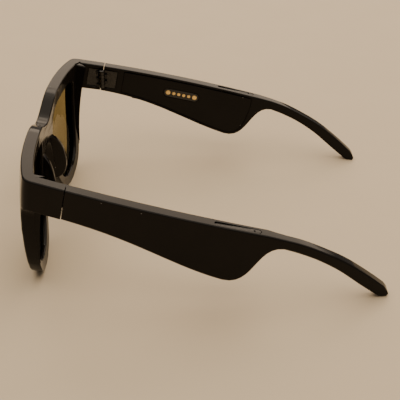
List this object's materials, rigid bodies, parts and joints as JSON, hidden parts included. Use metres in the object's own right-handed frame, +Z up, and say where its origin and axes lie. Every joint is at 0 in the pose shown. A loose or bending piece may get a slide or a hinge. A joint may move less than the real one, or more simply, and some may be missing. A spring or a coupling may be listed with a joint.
{
  "type": "smart glasses",
  "caption": "Black audio sunglasses standing open on rims and temple tips, with deep temples that hold speakers, charging contacts and a button, and tinted lenses.",
  "frame": {"origin": "On the table, midway between the two temples and midway between the front of the brow and the temple tips.", "axes": "+X to the wearer's left, +Y from the front towards the temple tips, +Z up from the table."},
  "size_m": [0.1458, 0.153, 0.0557],
  "materials": {
    "gloss_black": "polished black injection-moulded nylon",
    "satin_black": "satin black plastic",
    "tinted_lens": "olive-brown tinted polarised plastic",
    "hinge_steel": "black-plated stainless steel",
    "dark_metal": "dark blackened metal",
    "gold_contact": "gold plated",
    "flex_film": "amber polyimide film",
    "foam": "closed-cell foam rubber",
    "foil": "laminated foil",
    "board_green": "solder-masked glass-fibre laminate"
  },
  "bodies": {
    "front": {"front_frame": "gloss_black", "lens_left": "tinted_lens", "lens_right": "tinted_lens", "hinge_front_leaf_left": "hinge_steel", "hinge_front_leaf_right": "hinge_steel", "hinge_screw_left": "hinge_steel", "hinge_screw_right": "hinge_steel", "link_ribbon": "flex_film"},
    "left_temple": {"temple_shell_left": "gloss_black", "temple_cover_left": "gloss_black", "hinge_temple_leaf_left": "hinge_steel", "arm_core_left": "dark_metal", "speaker_grille_left": "dark_metal", "speaker_gasket_left": "foam", "temple_ribbon_left": "flex_film", "speaker_driver_left": "satin_black", "battery_cell": "foil"},
    "right_temple": {"temple_shell_right": "gloss_black", "temple_cover_right": "gloss_black", "hinge_temple_leaf_right": "hinge_steel", "arm_core_right": "dark_metal", "speaker_grille_right": "dark_metal", "speaker_gasket_right": "foam", "temple_ribbon_right": "flex_film", "speaker_driver_right": "satin_black", "circuit_board": "board_green", "contact_pad": "satin_black", "charging_contact_1": "gold_contact", "charging_contact_2": "gold_contact", "charging_contact_3": "gold_contact", "charging_contact_4": "gold_contact", "charging_contact_5": "gold_contact", "charging_contact_6": "gold_contact", "microphone": "foil", "button_switch": "hinge_steel"},
    "button": {"push_button": "satin_black"}
  },
  "joints": [
    {"name": "left_temple_fold", "type": "hinge", "parent": "front", "child": "left_temple", "pos_m": [0.06217, -0.05319, 0.04448], "axis": [0, 0.0148, 0.9999], "range_deg": [0, 90]},
    {"name": "right_temple_fold", "type": "hinge", "parent": "front", "child": "right_temple", "pos_m": [-0.06217, -0.05319, 0.04448], "axis": [0, -0.0148, -0.9999], "range_deg": [0, 80]},
    {"name": "button_press", "type": "slide", "parent": "right_temple", "child": "button", "axis": [0, 0.2106, 0.9776], "range_m": [0, 0.00035], "stiffness_N_per_m": 800}
  ]
}
